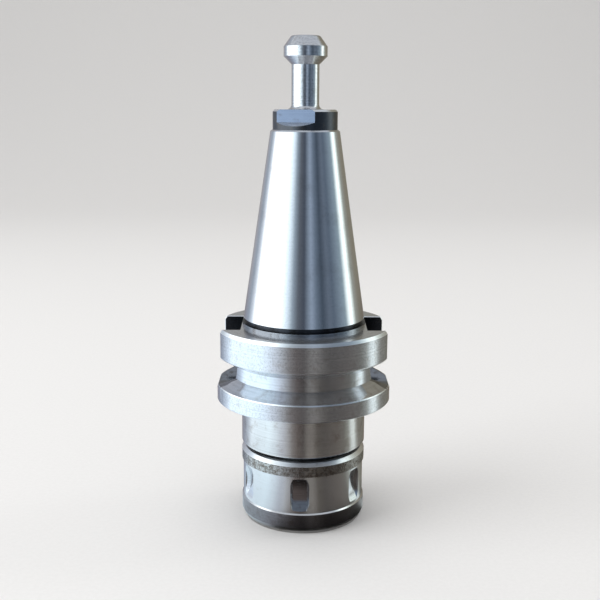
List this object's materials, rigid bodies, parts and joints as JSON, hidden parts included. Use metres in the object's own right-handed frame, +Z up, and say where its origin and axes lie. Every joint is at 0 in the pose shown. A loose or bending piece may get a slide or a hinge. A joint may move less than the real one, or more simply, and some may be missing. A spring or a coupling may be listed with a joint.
{
  "type": "collet chuck holder",
  "caption": "Steep-taper collet chuck holder with a V-grooved flange, a pull stud and a slim scooped clamp nut over a slit spring collet.",
  "frame": {"origin": "centre of the clamp nut's front face, on which the holder stands", "axes": "+Z up along the spindle axis towards the pull stud, +X through the middle of one drive slot, -Y towards the viewer"},
  "size_m": [0.046, 0.046, 0.1259],
  "materials": {
    "ground_steel": "ground and fine turned, satin",
    "stud_steel": "ground head and neck, dark oxide flange",
    "nut_steel": "polished waist between dark, worn bands",
    "coated_ring": "hard gold-coloured coating",
    "spring_strip": "rolled spring strip",
    "collet_steel": "ground"
  },
  "bodies": {
    "holder": {"holder_body": "ground_steel", "pull_stud": "stud_steel"},
    "collet_carrier": {"thrust_ring": "coated_ring", "collet": "collet_steel"},
    "nut": {"clamp_nut": "nut_steel", "retaining_clip": "spring_strip"}
  },
  "joints": [
    {"name": "collet_draw", "type": "slide", "parent": "holder", "child": "collet_carrier", "axis": [0, 0, -1], "range_m": [0, 0.0092]},
    {"name": "nut_turn", "type": "hinge", "parent": "collet_carrier", "child": "nut", "pos_m": [0, 0, 0], "axis": [0, 0, -1], "range_deg": [0, 2160]}
  ],
  "couplings": [
    {"joint": "collet_draw", "follows": "nut_turn", "m_per_rad": 0.00023873}
  ]
}
